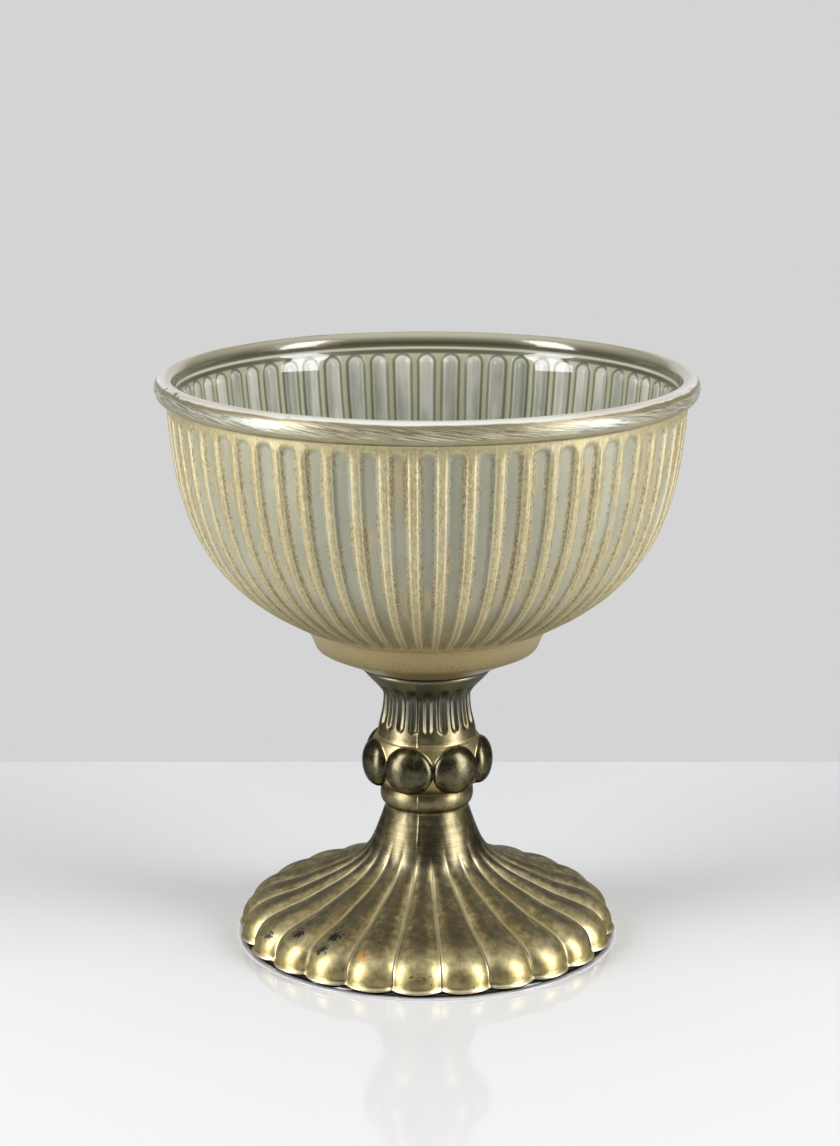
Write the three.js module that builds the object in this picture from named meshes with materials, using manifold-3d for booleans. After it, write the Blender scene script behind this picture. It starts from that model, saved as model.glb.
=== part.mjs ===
// A pedestal compote: a ribbed glass bowl, bonded to a scalloped glass pedestal on a thin round ring.
// Lengths are millimetres, Z is up, the table is at Z = 0 and the axis of the piece is X = Y = 0.
// The front faces -Y. Turns are degrees counted from the front towards +X.

import * as THREE from 'three';
import { mergeVertices } from 'three/addons/utils/BufferGeometryUtils.js';
import Module from 'manifold-3d';

// Base ring under the foot
const ringRadius = 55;
const ringHeight = 1.2;
const ringWidth = 6;
const ringLip = 0.45;
const ringLipRound = 0.15;
const ringRecess = 1.7;

// Scalloped foot of the pedestal
const footInset = 1;
const footHeight = 13.95;
const lobeCount = 24;
const lobeTurn = -3.1;
const lobeSweep = 67;
const skirtCreaseDepth = 2.8;
const skirtRun = 6.5;
const slopeCreaseDepth = 1.8;
const creaseEndRadius = 13.5;
const creaseFade = 14;
const skirtLipHeight = 1.8;
const skirtLipOut = 0.8;
const skirtLipUnder = 0.5;
const slopeRadius = 36.9;
const slopeFall = 0.44;
const shoulderRise = 8.6;
const shoulderRun = 4;
const hollowHeight = 14.5;

// Trumpet and neck above the foot
const trumpetHeight = 24.1;
const trumpetRun = 20.6;
const trumpetDrop = 16.8;
const trumpetLean = 0.35;
const neckRadius = 11.8;

// Collar and knop with its bosses
const collarHeight = 6.35;
const collarRound = 2.95;
const collarFillet = 0.5;
const collarRadius = 13.4;
const collarStart = -70;
const collarEnd = 60;
const knopHeight = 14.4;
const knopRadius = 14.2;
const knopBulge = 2.3;
const bossCount = 7;
const bossReach = 18.95;
const bossWidth = 14.4;
const bossHeight = 13.8;
const bossStandOff = 0.8;
const bossTurn = 31.7;

// Fluted stem and flared top of the pedestal
const stemHeight = 12;
const stemWaist = 12.5;
const stemLean = 0.3;
const stemFluteCount = 20;
const stemFluteDepth = 0.8;
const stemFluteTurn = 1.2;
const flareHeight = 8.6;
const flareRadius = 18.5;
const flareEdge = 0.8;
const flareRun = 4.2;
const flareSteepness = 1.17;
const flareEase = 1.7;

// Bond between the pedestal and the bowl
const bondHeight = 0.5;
const bondInset = 0.6;

// Foot band and wall of the bowl
const seatMargin = 0.6;
const dishRise = 5;
const bandRadius = 32;
const bandCorner = 1.2;
const bandHeight = 7.1;
const bandFlare = 2.9;
const bandFillet = 0.8;
const wallFootStep = 1.4;
const wallHeight = 63.2;
const wallFootReach = 0.79;
const wallFootRise = 0.218;
const wallTopLean = 0.062;
const wallTopDrop = 0.484;
const beadOverhang = 3.2;
const wallThickness = 3.4;
const wallFootThickness = 5.5;
const floorThickness = 9.4;

// Flutes pressed into the outside of the bowl
const fluteCount = 60;
const fluteShare = 0.7;
const floorShare = 0.42;
const fluteDepth = 1;
const archHeight = 3;

// Plain strip and rolled bead at the rim
const rimRadius = 76;
const stripHeight = 1.2;
const beadWidth = 5.6;
const beadHeight = 6.6;
const beadStart = -75;
const beadEnd = 205;

// Points around each kind of ring
const plainPoints = 44;
const insidePoints = 54;
const rimPoints = 84;
const lobePoints = 5;

// Levels, from the table up
const pedestalBase = ringHeight;
const slopeLevel = pedestalBase + footHeight;
const neckLevel = slopeLevel + trumpetHeight;
const collarTop = neckLevel + collarHeight;
const knopTop = collarTop + knopHeight;
const stemTop = knopTop + stemHeight;
const pedestalTop = stemTop + flareHeight;
const bowlBase = pedestalTop + bondHeight;
const bandBase = bowlBase + dishRise;
const bandTop = bandBase + bandHeight;
const wallBase = bandTop + bandFillet;
const wallTop = wallBase + wallHeight;
const beadCentre = wallTop + stripHeight + beadHeight / 2;

const footRadius = ringRadius - footInset;
const wallTopRadius = rimRadius - beadOverhang;
const wallBaseRadius = bandRadius + bandFlare + wallFootStep;

const wasm = await Module();
wasm.setup();

// A place on an outline, with the unit normal that points out of the material.
function place(r, z, nr = 0, nz = 0) {
  return { r, z, nr, nz };
}

// Places along a curve whose x is the radius and y is the height, for an outline that runs up the outside.
function placesOn(curve, shares) {
  return shares.map((share) => {
    const point = curve.getPoint(share);
    const tangent = curve.getTangent(share);
    return place(point.x, point.y, tangent.y, -tangent.x);
  });
}

// Places on an ellipse, from one angle to another, both in degrees.
function placesOnEllipse(centreR, centreZ, halfR, halfZ, from, to, steps) {
  return Array.from({ length: steps + 1 }, (_, step) => {
    const angle = THREE.MathUtils.degToRad(from + (to - from) * step / steps);
    return place(centreR + halfR * Math.cos(angle), centreZ + halfZ * Math.sin(angle));
  });
}

// A ring of points at a place on the outline. Each mark is a turn and how far in from the outline it lies.
function ring(at, marks) {
  const points = marks.map(([turn, inset]) => {
    const angle = THREE.MathUtils.degToRad(turn);
    const r = at.r - inset * at.nr;
    const position = new THREE.Vector3(r * Math.sin(angle), -r * Math.cos(angle), at.z - inset * at.nz);
    return { turn: THREE.MathUtils.euclideanModulo(turn, 360), position };
  });
  return points.sort((a, b) => a.turn - b.turn);
}

// A smooth round ring.
function roundRing(at, count) {
  return ring(at, Array.from({ length: count }, (_, i) => [i * 360 / count, 0]));
}

// The point where an outline meets the axis.
function pole(z) {
  return [{ turn: 0, position: new THREE.Vector3(0, 0, z) }];
}

// Joins two neighbouring rings with triangles, whatever their point counts.
function zip(lower, upper, lowerStart, upperStart, faces) {
  const turnAfter = (points, i) => (i + 1 < points.length ? points[i + 1].turn : points[0].turn + 360);
  const lowerSteps = lower.length > 1 ? lower.length : 0;
  const upperSteps = upper.length > 1 ? upper.length : 0;
  let i = 0;
  let j = 0;
  while (i < lowerSteps || j < upperSteps) {
    const a = lowerStart + i % lower.length;
    const b = upperStart + j % upper.length;
    const lowerFirst = i < lowerSteps && turnAfter(lower, i) <= turnAfter(upper, j);
    if (j >= upperSteps || lowerFirst) {
      faces.push(a, lowerStart + (i + 1) % lower.length, b);
      i += 1;
    } else {
      faces.push(a, upperStart + (j + 1) % upper.length, b);
      j += 1;
    }
  }
}

// A closed skin over a row of rings. It runs from pole to pole, or round in a loop.
function skin(rings, loop = false) {
  const starts = [];
  const coordinates = [];
  const faces = [];
  for (const points of rings) {
    starts.push(coordinates.length / 3);
    for (const point of points) {
      coordinates.push(...point.position.toArray());
    }
  }
  const joints = loop ? rings.length : rings.length - 1;
  for (let k = 0; k < joints; k += 1) {
    const next = (k + 1) % rings.length;
    zip(rings[k], rings[next], starts[k], starts[next], faces);
  }
  const geometry = new THREE.BufferGeometry();
  geometry.setAttribute('position', new THREE.Float32BufferAttribute(coordinates, 3));
  geometry.setIndex(faces);
  return geometry;
}

// Turns a geometry into a solid that can be joined with others.
function solid(geometry) {
  const bare = geometry.clone();
  bare.deleteAttribute('normal');
  bare.deleteAttribute('uv');
  const merged = mergeVertices(bare, 1e-4);
  return new wasm.Manifold(new wasm.Mesh({
    numProp: 3,
    vertProperties: new Float32Array(merged.attributes.position.array),
    triVerts: new Uint32Array(merged.index.array),
  }));
}

// Turns a solid back into a geometry.
function surface(body) {
  const mesh = body.getMesh();
  const geometry = new THREE.BufferGeometry();
  geometry.setAttribute('position', new THREE.BufferAttribute(mesh.vertProperties, 3));
  geometry.setIndex(new THREE.BufferAttribute(mesh.triVerts, 1));
  return geometry;
}

// Marks of the wide flutes round the bowl. Width and depth are shares of a full flute.
function fluteMarks(width, depth) {
  const pitch = 360 / fluteCount;
  const edge = pitch * fluteShare / 2 * width;
  const floor = pitch * floorShare / 2 * width;
  const inset = fluteDepth * depth;
  return Array.from({ length: fluteCount }, (_, i) => i * pitch).flatMap((centre) => [
    [centre - edge, 0],
    [centre - floor, inset],
    [centre + floor, inset],
    [centre + edge, 0],
  ]);
}

// Marks of the scallops round the foot. Each lobe has a round back that turns by lobeSweep to either crease.
function lobeMarks(depth) {
  const pitch = 360 / lobeCount;
  const reach = Math.sin(THREE.MathUtils.degToRad(lobeSweep));
  const sag = (u) => 1 - Math.sqrt(1 - (reach * u) ** 2);
  return Array.from({ length: lobeCount }, (_, i) => lobeTurn + i * pitch).flatMap((centre) =>
    Array.from({ length: lobePoints }, (_, k) => {
      const u = 2 * k / lobePoints - 1;
      return [centre + u * pitch / 2, depth * sag(u) / sag(1)];
    }));
}

// Marks of the hollow flutes round the stem.
function stemMarks(depth) {
  const pitch = 360 / stemFluteCount;
  return Array.from({ length: stemFluteCount }, (_, i) => stemFluteTurn + i * pitch).flatMap((centre) => [
    [centre - pitch / 2, 0],
    [centre - pitch / 4, depth / 2],
    [centre, depth],
    [centre + pitch / 4, depth / 2],
  ]);
}

// The thin round ring that the foot stands on, with a low lip round it and a seat for the foot set back.
function baseRing() {
  const inner = ringRadius - ringWidth;
  const seat = ringRadius - ringRecess;
  const outline = [
    place(inner, 0),
    place(ringRadius - ringLipRound, 0),
    place(ringRadius, ringLip / 2),
    place(ringRadius - ringLipRound, ringLip),
    place(seat, ringLip),
    place(seat, ringHeight),
    place(inner, ringHeight),
  ];
  return skin(outline.map((at) => roundRing(at, plainPoints)), true);
}

// The domed hollow under the foot, from its crown down to the base.
function hollowRings() {
  const edge = ringRadius - ringWidth;
  const places = placesOnEllipse(0, pedestalBase, edge, hollowHeight, 90, 0, 5).slice(1);
  return [pole(pedestalBase + hollowHeight), ...places.map((at) => roundRing(at, plainPoints))];
}

// How deep the creases lie at a radius: deep round the skirt, shallow on the slope, and gone up the trumpet.
function creaseDepth(r) {
  const skirt = THREE.MathUtils.clamp(1 - (footRadius - r) / skirtRun, 0, 1);
  const fade = THREE.MathUtils.smoothstep(r, creaseEndRadius, creaseEndRadius + creaseFade);
  return THREE.MathUtils.lerp(slopeCreaseDepth, skirtCreaseDepth, skirt ** 3) * fade;
}

// The scalloped skirt: a thin lip, the round shoulder and the slope, with creases between the lobes.
function footRings() {
  const shoulderLevel = pedestalBase + skirtLipHeight;
  const shoulder = new THREE.CubicBezierCurve(
    new THREE.Vector2(footRadius, shoulderLevel),
    new THREE.Vector2(footRadius, shoulderLevel + shoulderRise),
    new THREE.Vector2(slopeRadius + shoulderRun, slopeLevel - shoulderRun * slopeFall),
    new THREE.Vector2(slopeRadius, slopeLevel),
  );
  const lip = [
    place(footRadius - skirtLipUnder, pedestalBase, 1, 0),
    place(footRadius + skirtLipOut, pedestalBase + skirtLipHeight / 2, 1, 0),
  ];
  const backs = placesOn(shoulder, [0, 0.22, 0.45, 0.7, 1]);
  return [...lip, ...backs].map((at) => ring(at, lobeMarks(creaseDepth(at.r))));
}

// The trumpet between the foot and the neck. Its lower part still carries the fading scallops.
function trumpetRings() {
  const trumpet = new THREE.CubicBezierCurve(
    new THREE.Vector2(slopeRadius, slopeLevel),
    new THREE.Vector2(slopeRadius - trumpetRun, slopeLevel + trumpetRun * slopeFall),
    new THREE.Vector2(neckRadius + trumpetDrop * trumpetLean, neckLevel - trumpetDrop),
    new THREE.Vector2(neckRadius, neckLevel),
  );
  const fading = placesOn(trumpet, [0.17, 0.35, 0.54]);
  const smooth = placesOn(trumpet, [0.7, 0.85, 1]);
  return [
    ...fading.map((at) => ring(at, lobeMarks(creaseDepth(at.r)))),
    ...smooth.map((at) => roundRing(at, plainPoints)),
  ];
}

// The collar: a round roll above the neck, then the full, rounded core of the knop.
function collarRings() {
  const swell = collarRadius - neckRadius;
  const roundLevel = neckLevel + collarFillet + collarRound;
  const round = placesOnEllipse(neckRadius, roundLevel, swell, collarRound, collarStart, collarEnd, 4);
  const core = [0, 0.12, 0.5, 0.88, 1].map((share) => {
    const straight = THREE.MathUtils.lerp(collarRadius, knopRadius, share);
    const bulge = knopBulge * Math.sqrt(Math.sin(Math.PI * share));
    return place(straight + bulge, collarTop + knopHeight * share);
  });
  return [...round, ...core].map((at) => roundRing(at, plainPoints));
}

// The stem: plain above the knop, then hollow flutes with rounded lower ends that run up past the waist.
function stemRings() {
  const stem = new THREE.CubicBezierCurve(
    new THREE.Vector2(knopRadius, knopTop),
    new THREE.Vector2(knopRadius - stemLean, knopTop + stemHeight / 3),
    new THREE.Vector2(stemWaist, stemTop - stemHeight / 2),
    new THREE.Vector2(stemWaist, stemTop),
  );
  return [
    ...placesOn(stem, [0.28]).map((at) => ring(at, stemMarks(0))),
    ...placesOn(stem, [0.42, 0.7, 1]).map((at) => ring(at, stemMarks(stemFluteDepth))),
  ];
}

// The flare above the stem, which widens into a flat round seat for the bond.
function flareRings() {
  const edgeLevel = pedestalTop - flareEdge;
  const flare = new THREE.CubicBezierCurve(
    new THREE.Vector2(stemWaist, stemTop),
    new THREE.Vector2(stemWaist, stemTop + flareEase),
    new THREE.Vector2(flareRadius - flareRun, edgeLevel - flareRun * flareSteepness),
    new THREE.Vector2(flareRadius, edgeLevel),
  );
  return [
    ...placesOn(flare, [0.45]).map((at) => ring(at, stemMarks(0))),
    ...placesOn(flare, [0.7, 1]).map((at) => roundRing(at, plainPoints)),
    roundRing(place(flareRadius, pedestalTop), plainPoints),
    pole(pedestalTop),
  ];
}

// The round bosses that stand out of the knop.
function bosses() {
  const centreRadius = knopRadius + bossStandOff;
  const centreLevel = collarTop + knopHeight / 2;
  return Array.from({ length: bossCount }, (_, i) => {
    const angle = THREE.MathUtils.degToRad(bossTurn + i * 360 / bossCount);
    const ball = new THREE.SphereGeometry(1, 12, 8);
    ball.rotateX(Math.PI / 2);
    ball.scale(bossWidth / 2, bossReach - centreRadius, bossHeight / 2);
    ball.translate(0, -centreRadius, centreLevel);
    ball.rotateZ(angle);
    return solid(ball);
  });
}

// The pedestal, one pressed piece of glass from the base to the top lip.
function pedestal() {
  const core = skin([
    ...hollowRings(),
    ...footRings(),
    ...trumpetRings(),
    ...collarRings(),
    ...stemRings(),
    ...flareRings(),
  ]);
  return surface(bosses().reduce((body, boss) => body.add(boss), solid(core)));
}

// The thin disc of clear bond between pedestal and bowl.
function bond() {
  const radius = flareRadius - bondInset;
  return skin([
    pole(pedestalTop),
    roundRing(place(radius, pedestalTop), plainPoints),
    roundRing(place(radius, bowlBase), plainPoints),
    pole(bowlBase),
  ]);
}

// The outside curve of the bowl's wall, from the foot band to the plain strip.
function wallCurve() {
  const spread = wallTopRadius - wallBaseRadius;
  return new THREE.CubicBezierCurve(
    new THREE.Vector2(wallBaseRadius, wallBase),
    new THREE.Vector2(wallBaseRadius + spread * wallFootReach, wallBase + wallHeight * wallFootRise),
    new THREE.Vector2(wallTopRadius - spread * wallTopLean, wallTop - wallHeight * wallTopDrop),
    new THREE.Vector2(wallTopRadius, wallTop),
  );
}

// The bowl's underside: a flat seat, a shallow dish and the plain foot band.
function bandRings() {
  const outline = [
    place(flareRadius + seatMargin, bowlBase),
    place(bandRadius - bandCorner, bandBase),
    place(bandRadius, bandBase + bandCorner),
    place(bandRadius + bandFlare, bandTop),
  ];
  return [pole(bowlBase), ...outline.map((at) => roundRing(at, rimPoints))];
}

// The fluted wall. Each flute starts in a rounded end above the band and stops in an arch below the strip.
function wallRings() {
  const curve = wallCurve();
  const archShare = archHeight / (3 * wallTopDrop * wallHeight);
  const ends = [
    [0, 0.5, 0],
    [0.03, 1, 1],
  ];
  const runs = [0.14, 0.27, 0.41, 0.56, 0.74].map((share) => [share, 1, 1]);
  const arch = [
    [1 - archShare, 1, 1],
    [1 - archShare * 0.4, 0.8, 1],
    [1, 0.35, 0],
  ];
  return [...ends, ...runs, ...arch].map(([share, width, depth]) => {
    const [at] = placesOn(curve, [share]);
    return ring(at, fluteMarks(width, depth));
  });
}

// The rolled bead: a full round from below its outside, over the top and down to the inner wall.
function beadRings() {
  const centre = rimRadius - beadWidth / 2;
  return placesOnEllipse(centre, beadCentre, beadWidth / 2, beadHeight / 2, beadStart, beadEnd, 7)
    .map((at) => roundRing(at, rimPoints));
}

// The smooth inside, from under the bead down the wall and across the dished floor.
function insideRings() {
  const curve = wallCurve();
  const wall = placesOn(curve, [1, 0.8, 0.58, 0.36, 0.17, 0]).map((at, i, all) => {
    const thickness = THREE.MathUtils.lerp(wallThickness, wallFootThickness, i / (all.length - 1));
    return place(at.r - thickness * at.nr, at.z - thickness * at.nz);
  });
  const foot = wall.at(-1);
  const floorLevel = bowlBase + floorThickness;
  const floorRise = foot.z - floorLevel;
  const floor = [0.75, 0.45].map((share) => place(foot.r * share, floorLevel + floorRise * share ** 3));
  return [
    ...wall.map((at) => roundRing(at, insidePoints)),
    ...floor.map((at) => roundRing(at, plainPoints)),
    pole(floorLevel),
  ];
}

// The bowl, one pressed piece of glass.
function bowl() {
  return skin([
    ...bandRings(),
    ...wallRings(),
    ...beadRings(),
    ...insideRings(),
  ]);
}

function piece(name, geometry, colour, roughness, metalness) {
  const material = new THREE.MeshStandardMaterial({ color: colour, roughness, metalness });
  const flat = geometry.toNonIndexed();
  flat.computeVertexNormals();
  const mesh = new THREE.Mesh(flat, material);
  mesh.name = name;
  return mesh;
}

const compote = new THREE.Group();
compote.name = 'pedestal_compote';
compote.add(piece('ribbed_glass_bowl', bowl(), 0xb9b48e, 0.4, 0.3));
compote.add(piece('bowl_bond_disc', bond(), 0xe6e6df, 0.3, 0));
compote.add(piece('scalloped_pedestal', pedestal(), 0x8a7548, 0.35, 0.6));
compote.add(piece('foot_rest_ring', baseRing(), 0xcfcdc8, 0.2, 0));

export default compote;
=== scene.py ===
"""Looks of the pedestal compote: ribbed glass bowl, bond, scalloped pedestal and rest ring, dressed round the frame."""
import math

import bpy
import numpy as np
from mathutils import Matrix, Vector


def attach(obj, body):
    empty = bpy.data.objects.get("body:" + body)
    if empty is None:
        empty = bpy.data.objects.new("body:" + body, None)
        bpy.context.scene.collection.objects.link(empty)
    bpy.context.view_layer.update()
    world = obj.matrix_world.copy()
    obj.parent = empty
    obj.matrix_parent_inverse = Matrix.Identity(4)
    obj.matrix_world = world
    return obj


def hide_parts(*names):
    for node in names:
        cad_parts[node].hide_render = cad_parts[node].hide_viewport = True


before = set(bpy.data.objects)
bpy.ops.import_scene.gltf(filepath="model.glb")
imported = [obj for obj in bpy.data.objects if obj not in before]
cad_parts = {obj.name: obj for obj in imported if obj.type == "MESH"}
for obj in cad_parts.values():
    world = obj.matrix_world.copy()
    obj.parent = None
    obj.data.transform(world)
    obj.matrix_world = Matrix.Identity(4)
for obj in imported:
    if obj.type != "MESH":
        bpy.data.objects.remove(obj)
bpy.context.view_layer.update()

# camera
CAMERA_PLACE = (-0.00198, -0.780, 0.299)
CAMERA_PITCH = 13.81
CAMERA_SENSOR = 36.0
CAMERA_LENS = 88.95

camera_data = bpy.data.cameras.new("camera")
camera_data.sensor_width = CAMERA_SENSOR
camera_data.lens = CAMERA_LENS
camera_data.clip_end = 100
camera = bpy.data.objects.new("camera", camera_data)
camera.location = CAMERA_PLACE
camera.rotation_euler = (math.radians(90 - CAMERA_PITCH), 0, 0)
bpy.context.scene.collection.objects.link(camera)
bpy.context.scene.camera = camera

# sizes, in millimetres, as the solids have them
RING_RADIUS, RING_HEIGHT, RING_WIDTH = 55.0, 1.2, 6.0
FOOT_RADIUS = 54.0
SLOPE_LEVEL, SLOPE_RADIUS, SLOPE_FALL = 15.15, 36.9, 0.44
NECK_LEVEL, NECK_RADIUS = 39.25, 11.8
COLLAR_TOP, COLLAR_RADIUS = 45.6, 13.4
KNOP_TOP, KNOP_RADIUS, KNOP_BULGE = 60.0, 14.2, 2.3
STEM_TOP, STEM_WAIST = 72.0, 12.5
PEDESTAL_TOP, FLARE_RADIUS, FLARE_EDGE = 80.6, 18.5, 0.8
BOWL_BASE = 81.1
WALL_THIN, WALL_GAIN, FLOOR_RISE = 3.1, 2.4, 9.4
WALL = np.array([(36.3, 94.0), (65.135, 107.778), (70.537, 126.611), (72.8, 157.2)])
BEAD_CENTRE, BEAD_HALF = (73.2, 161.7), (2.8, 3.3)
LOBES, LOBE_TURN, LOBE_BACK = 24, -3.1, 0.92
SKIRT_DEPTH, SKIRT_RUN, SLOPE_DEPTH = 2.8, 6.5, 1.8
CREASE_END, CREASE_FADE = 13.5, 14.0
FLUTES, FLUTE_DEPTH = 60, 0.95
STEM_FLUTES, STEM_FLUTE_DEPTH, STEM_FLUTE_TURN, STEM_FLUTE_FOOT = 20, 0.8, 1.2, 63.2
BOSSES, BOSS_TURN = 7, 31.7
BOSS_CENTRE, BOSS_HALF = (15.0, 52.8), (4.0, 7.2, 6.9)
SEAM_TURN, SEAM_RISE, SEAM_HALF = -10.5, 0.14, 0.3
# where the arches of the painted flutes show on the inside, in metres
INSIDE_ARCH = 0.1560
# scuffs and one worn spot on the front left of the foot, each a place and its reach in metres
SCUFFS = [
    ((-0.0449, -0.0264, 0.0081), 0.0040),
    ((-0.0364, -0.0322, 0.0108), 0.0042),
    ((-0.0292, -0.0410, 0.0097), 0.0040),
    ((-0.0257, -0.0381, 0.0121), 0.0042),
]
WORN_SPOT = ((-0.0178, -0.0464, 0.0101), 0.0034)
# paints, as sRGB of 0 to 255
COLOURS = {
    "sage_deep": (145, 144, 125), "sage_pale": (161, 158, 137), "sage_low": (114, 104, 68),
    "rib_deep": (168, 154, 112), "rib_pale": (202, 188, 144), "rib_edge_highlight": (238, 229, 192), "wash": (172, 159, 119),
    "fleck": (108, 94, 60), "low_olive": (116, 102, 62), "strip": (176, 166, 124), "band_deep": (102, 89, 52),
    "band_pale": (146, 130, 88), "band_grain": (176, 158, 110), "silver_warm": (208, 202, 172),
    "silver_cool": (196, 196, 184), "scratch_warm": (112, 105, 76), "scratch_cool": (112, 113, 104),
    "bead_brown": (138, 126, 96), "bead_olive": (150, 141, 110), "bead_edge": (92, 84, 52),
    "top_highlight_pale": (238, 236, 222), "top_highlight_rose": (226, 214, 200), "chip": (92, 90, 88), "roll_deep": (84, 80, 58),
    "roll_pale": (186, 178, 152), "column_deep": (166, 168, 154), "column_pale": (214, 214, 200),
    "column_edge_highlight": (240, 236, 212), "between_pale": (186, 184, 154), "between_deep": (122, 122, 96),
    "under_rim_shade": (96, 94, 74), "rim_highlight": (216, 213, 192), "inside_floor": (140, 138, 114),
    "slope_deep": (178, 164, 118), "slope_pale": (216, 200, 150), "skirt_deep": (156, 142, 98),
    "skirt_pale": (184, 168, 116), "upper_deep": (112, 103, 76), "upper_pale": (138, 128, 94),
    "brown_deep": (88, 74, 46), "brown_pale": (152, 130, 84), "pewter_and_shade_deep": (76, 76, 74),
    "pewter_and_shade_pale": (106, 104, 99), "bronze_deep": (64, 62, 48), "bronze_pale": (96, 90, 66),
    "stem_deep": (62, 61, 56), "stem_pale": (88, 86, 78), "flare": (112, 108, 92), "shade_black": (34, 30, 24),
    "cream_highlight": (232, 220, 180), "rings": (72, 68, 54), "patina_and_shade": (54, 49, 36), "ledge_highlight": (206, 188, 138),
    "pit": (52, 42, 26), "scuff": (46, 52, 58), "worn": (232, 180, 106), "metal_tint": (120, 124, 128),
    "ring_reflection_deep": (196, 192, 196), "ring_reflection_pale": (224, 222, 224), "ring_gap_shadow": (14, 13, 12),
    "bond_deep": (110, 106, 90), "bond_pale": (140, 136, 118), "table_deep": (238, 238, 237),
    "table_pale": (241, 241, 240), "sky": (240, 246, 255), "card": (212, 212, 212),
}
# heights in metres between which a paint comes in or goes out
HEIGHTS = {
    "sage_low": (0.098, 0.116), "bowl_low": (0.095, 0.116), "strip": (0.1525, 0.1560), "band": (0.0935, 0.0955),
    "band_fade": (0.0855, 0.0915), "bead_brown": (0.1628, 0.1634), "bead_olive": (0.1600, 0.1606),
    "bead_edge": (0.1586, 0.1592), "top_highlight": (0.16385, 0.16425), "inner_roll": (0.1618, 0.1646),
    "bead_wall": (0.1612, 0.1616), "under_rim_shade": (0.1584, 0.1591), "rim_highlight": (0.1600, 0.1608),
    "inside_floor": (0.0925, 0.0985), "skirt": (0.0045, 0.0095), "upper_gold": (0.021, 0.029),
    "slope_start": (0.0105, 0.0135), "slope_end": (0.019, 0.027), "lobe_start": (0.0085, 0.0130),
    "lobe_end": (0.024, 0.030), "trumpet": (0.0255, 0.0395), "neck": (0.0395, 0.0415), "valley": (0.0475, 0.0590),
    "ledge_highlight": (0.0588, 0.0604), "stem": (0.0605, 0.0700), "flare": (0.072, 0.077), "crease_highlight": (0.003, 0.006),
    "crease_shade": (0.008, 0.012), "lip": (0.0017, 0.0024), "lip_underside_shade": (0.00145, 0.00165), "pits": (0.0, 0.03),
    "ring_gap_shadow": (0.00042, 0.00055),
}


def smooth(x, low=0.0, high=1.0):
    """0 below low, 1 above high, with level ends."""
    t = np.clip((np.asarray(x, float) - low) / (high - low), 0, 1)
    return t * t * (3 - 2 * t)


def bezier(points, share):
    """Places and outward unit normals on a cubic curve of (radius, height) points."""
    p = np.asarray(points, float)
    t = np.asarray(share, float)[:, None]
    u = 1 - t
    at = u**3 * p[0] + 3 * u * u * t * p[1] + 3 * u * t * t * p[2] + t**3 * p[3]
    run = u * u * (p[1] - p[0]) + 2 * u * t * (p[2] - p[1]) + t * t * (p[3] - p[2])
    run /= np.linalg.norm(run, axis=1)[:, None]
    return at, np.column_stack([run[:, 1], -run[:, 0]])


def polyline(points, steps):
    """A rounded line through (radius, height) points: a Catmull-Rom curve with its outward normals."""
    p = np.asarray(points, float)
    ends = np.vstack([2 * p[0] - p[1], p, 2 * p[-1] - p[-2]])
    out = []
    for k in range(len(p) - 1):
        a, b, c, d = ends[k:k + 4]
        for t in np.arange(steps) / steps:
            out.append(0.5 * (2 * b + (c - a) * t + (2 * a - 5 * b + 4 * c - d) * t * t
                              + (3 * b - a - 3 * c + d) * t**3))
    out.append(p[-1])
    return with_normals(np.array(out))


def with_normals(at):
    run = np.gradient(at, axis=0)
    run /= np.maximum(np.linalg.norm(run, axis=1), 1e-9)[:, None]
    return at, np.column_stack([run[:, 1], -run[:, 0]])


def arc(centre, half, start, end, steps):
    angle = np.radians(np.linspace(start, end, steps + 1))
    at = np.column_stack([centre[0] + half[0] * np.cos(angle), centre[1] + half[1] * np.sin(angle)])
    normal = np.column_stack([np.cos(angle) / half[0], np.sin(angle) / half[1]])
    return at, normal / np.linalg.norm(normal, axis=1)[:, None]


def build(name, at, normal, turn, inset, start=None, end=None, loop=False, masks=None):
    """A closed mesh of rings. Each ring has a place, a normal, turns in radians and insets along the normal."""
    rows, around = inset.shape
    radius = at[:, :1] - inset * normal[:, :1]
    height = at[:, 1:] - inset * normal[:, 1:]
    turn = np.broadcast_to(turn, inset.shape)
    verts = np.stack([radius * np.sin(turn), -radius * np.cos(turn), height], -1).reshape(-1, 3)
    index = np.arange(rows * around).reshape(rows, around)
    below = index if loop else index[:-1]
    above = np.roll(index, -1, 0) if loop else index[1:]
    faces = np.stack([below, np.roll(below, -1, 1), np.roll(above, -1, 1), above], -1).reshape(-1, 4).tolist()
    extra = []
    if start is not None:
        extra.append((0, 0, start))
        faces += [(int(index[0, (j + 1) % around]), int(index[0, j]), len(verts)) for j in range(around)]
    if end is not None:
        pole = len(verts) + len(extra)
        extra.append((0, 0, end))
        faces += [(int(index[-1, j]), int(index[-1, (j + 1) % around]), pole) for j in range(around)]
    if extra:
        verts = np.vstack([verts, extra])
    mesh = bpy.data.meshes.new(name)
    mesh.from_pydata((verts * 0.001).tolist(), [], faces)
    for key, value in (masks or {}).items():
        layer = mesh.attributes.new(key, "FLOAT", "POINT")
        values = np.concatenate([np.broadcast_to(value, inset.shape).ravel(), np.zeros(len(extra))])
        layer.data.foreach_set("value", values.astype(np.float32))
    mesh.polygons.foreach_set("use_smooth", [True] * len(mesh.polygons))
    mesh.update()
    obj = bpy.data.objects.new(name, mesh)
    bpy.context.scene.collection.objects.link(obj)
    return obj


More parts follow.
